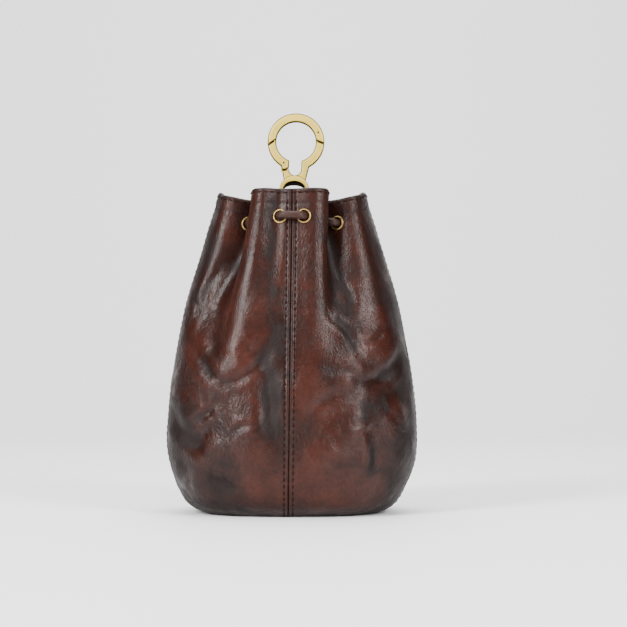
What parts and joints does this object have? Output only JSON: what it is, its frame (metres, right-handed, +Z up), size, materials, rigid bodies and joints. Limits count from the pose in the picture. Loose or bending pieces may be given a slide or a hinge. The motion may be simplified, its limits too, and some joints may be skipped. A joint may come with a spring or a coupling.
{
  "type": "drawstring pouch",
  "caption": "Small leather drawstring pouch with a flat base, a mouth gathered by a cord laced through brass eyelets, and a ring clasp with a sprung gate on its back rim.",
  "frame": {"origin": "middle of the flat base, on the floor", "axes": "-Y towards the pouch's front, where the viewer stands; +X to the viewer's right; +Z up towards the mouth and the clasp"},
  "size_m": [0.1179, 0.0927, 0.1908],
  "materials": {
    "bag_leather": "glossy antiqued brown leather, dark in the hollows and reddish on the ridges",
    "strap_leather": "dark brown leather strap, satin",
    "cord_leather": "dark brown round leather cord, dull",
    "eyelet_brass": "pale antique brass with dark edges",
    "clasp_brass": "pale polished antique brass, dark in the joints and hollows",
    "pin_brass": "darkened brass"
  },
  "bodies": {
    "pouch": {"front_right_panel": "bag_leather", "back_right_panel": "bag_leather", "back_left_panel": "bag_leather", "front_left_panel": "bag_leather", "eyelet_1": "eyelet_brass", "eyelet_2": "eyelet_brass", "eyelet_3": "eyelet_brass", "eyelet_4": "eyelet_brass", "eyelet_5": "eyelet_brass", "eyelet_6": "eyelet_brass", "eyelet_7": "eyelet_brass", "eyelet_8": "eyelet_brass", "eyelet_9": "eyelet_brass", "eyelet_10": "eyelet_brass", "eyelet_11": "eyelet_brass", "eyelet_12": "eyelet_brass", "drawstring": "cord_leather", "drawstring_end_left": "cord_leather", "end_knot_left": "cord_leather", "drawstring_end_right": "cord_leather", "end_knot_right": "cord_leather", "hanging_tab": "strap_leather", "clasp_frame": "clasp_brass", "clasp_bow": "clasp_brass", "gate_pin": "pin_brass", "bow_pin": "pin_brass"},
    "gate": {"clasp_gate": "clasp_brass"}
  },
  "joints": [
    {"name": "gate_hinge", "type": "hinge", "parent": "pouch", "child": "gate", "pos_m": [-0.00444, 0.02628, 0.16675], "axis": [0, 1, 0], "range_deg": [0, 28], "stiffness_Nm_per_rad": 0.02, "springref_deg": -28.65}
  ]
}
